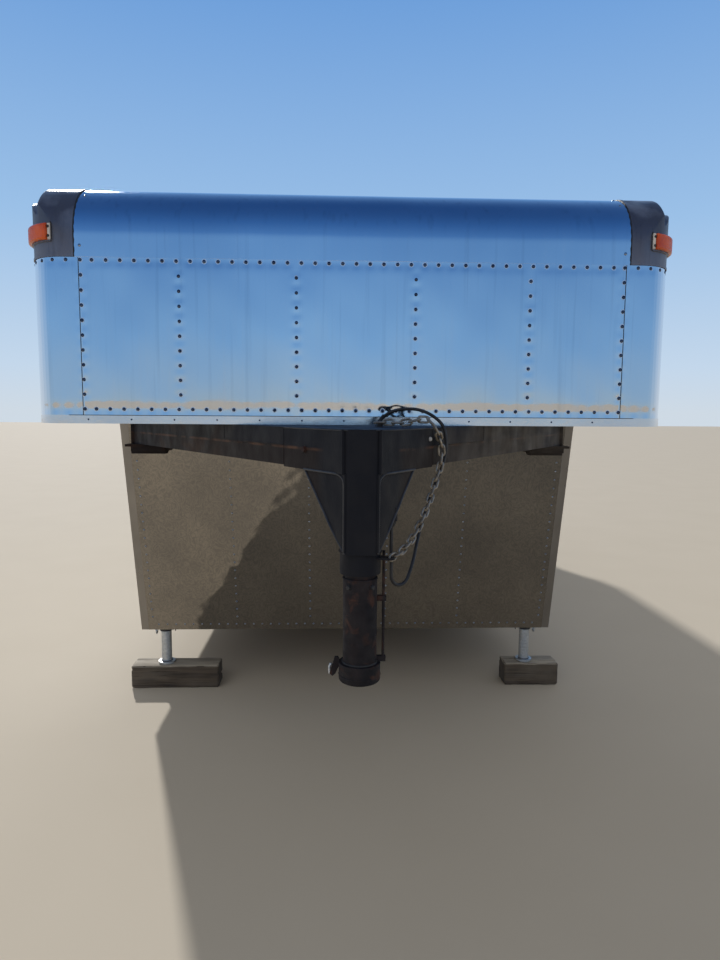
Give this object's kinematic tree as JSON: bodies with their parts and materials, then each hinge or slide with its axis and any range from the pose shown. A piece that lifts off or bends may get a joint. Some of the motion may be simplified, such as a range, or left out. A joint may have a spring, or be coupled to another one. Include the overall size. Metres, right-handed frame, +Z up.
{
  "type": "enclosed gooseneck trailer",
  "caption": "Enclosed gooseneck van trailer with a rolled, riveted nose over the neck, raked bulkhead, tandem wheels, swing doors and sliding ball coupler, on jacks and timber blocks.",
  "frame": {"origin": "on the ground under the middle of the whole length and width", "axes": "+Z up, the nose and neck face -Y, the left (road) side is +X"},
  "size_m": [2.6, 7.98, 2.513],
  "materials": {
    "polished_sheet": "polished",
    "cast_aluminium": "satin",
    "extruded_aluminium": "satin",
    "white_panel": "satin",
    "dark_steel": "satin",
    "rusty_steel": "rough",
    "galvanised": "dull",
    "deck_timber": "rough",
    "block_timber": "weathered",
    "amber_lens": "gloss",
    "red_lens": "gloss",
    "tyre": "matt",
    "wheel_steel": "satin",
    "zinc_chain": "dull",
    "black_rubber": "satin"
  },
  "bodies": {
    "trailer": {"nose_front": "polished_sheet", "nose_corner_left": "polished_sheet", "nose_corner_right": "polished_sheet", "nose_cove": "polished_sheet", "bulkhead": "polished_sheet", "corner_cap_left": "cast_aluminium", "corner_cap_right": "cast_aluminium", "bulkhead_post_left": "extruded_aluminium", "bulkhead_post_right": "extruded_aluminium", "roof_rail_left": "extruded_aluminium", "roof_rail_right": "extruded_aluminium", "nose_floor": "extruded_aluminium", "rear_frame": "extruded_aluminium", "side_wall_left": "white_panel", "side_wall_right": "white_panel", "roof_panel": "white_panel", "neck_head": "dark_steel", "neck_beam_left": "dark_steel", "neck_beam_right": "dark_steel", "frame_rail_left": "dark_steel", "frame_rail_right": "dark_steel", "cross_members_front": "dark_steel", "cross_members_middle": "dark_steel", "cross_members_rear": "dark_steel", "torsion_axle_front": "dark_steel", "torsion_axle_rear": "dark_steel", "rear_bumper": "dark_steel", "jack_left": "galvanised", "jack_right": "galvanised", "wheel_box_left": "galvanised", "wheel_box_right": "galvanised", "deck_floor": "deck_timber", "timber_block_left": "block_timber", "timber_block_right": "block_timber", "marker_lens_left": "amber_lens", "marker_lens_right": "amber_lens", "rear_lamp_left": "red_lens", "rear_lamp_right": "red_lens", "safety_chain": "zinc_chain", "wiring_cable": "black_rubber", "cable_gland": "black_rubber", "cable_plug": "black_rubber"},
    "rear_door_left": {"rear_door_left": "white_panel"},
    "rear_door_right": {"rear_door_right": "white_panel"},
    "side_door": {"side_door": "white_panel"},
    "coupler": {"coupler_tube": "rusty_steel", "coupler_socket": "rusty_steel"},
    "front_left_wheel": {"tyre_front_left": "tyre", "wheel_front_left": "wheel_steel"},
    "front_right_wheel": {"tyre_front_right": "tyre", "wheel_front_right": "wheel_steel"},
    "rear_left_wheel": {"tyre_rear_left": "tyre", "wheel_rear_left": "wheel_steel"},
    "rear_right_wheel": {"tyre_rear_right": "tyre", "wheel_rear_right": "wheel_steel"}
  },
  "joints": [
    {"name": "rear_door_left_hinge", "type": "hinge", "parent": "trailer", "child": "rear_door_left", "pos_m": [1.232, 3.967, 1.45], "axis": [0, 0, -1], "range_deg": [0, 240]},
    {"name": "rear_door_right_hinge", "type": "hinge", "parent": "trailer", "child": "rear_door_right", "pos_m": [-1.232, 3.967, 1.45], "axis": [0, 0, 1], "range_deg": [0, 240]},
    {"name": "side_door_hinge", "type": "hinge", "parent": "trailer", "child": "side_door", "pos_m": [-1.228, -1.636, 1.435], "axis": [0, 0, 1], "range_deg": [0, 170]},
    {"name": "coupler_slide", "type": "slide", "parent": "trailer", "child": "coupler", "axis": [0, 0, -1], "range_m": [0, 0.2]},
    {"name": "front_left_wheel_spin", "type": "hinge", "parent": "trailer", "child": "front_left_wheel", "pos_m": [1.0575, 1.1, 0.391], "axis": [1, 0, 0], "continuous": true},
    {"name": "front_right_wheel_spin", "type": "hinge", "parent": "trailer", "child": "front_right_wheel", "pos_m": [-1.0575, 1.1, 0.391], "axis": [1, 0, 0], "continuous": true},
    {"name": "rear_left_wheel_spin", "type": "hinge", "parent": "trailer", "child": "rear_left_wheel", "pos_m": [1.0575, 1.96, 0.391], "axis": [1, 0, 0], "continuous": true},
    {"name": "rear_right_wheel_spin", "type": "hinge", "parent": "trailer", "child": "rear_right_wheel", "pos_m": [-1.0575, 1.96, 0.391], "axis": [1, 0, 0], "continuous": true}
  ]
}
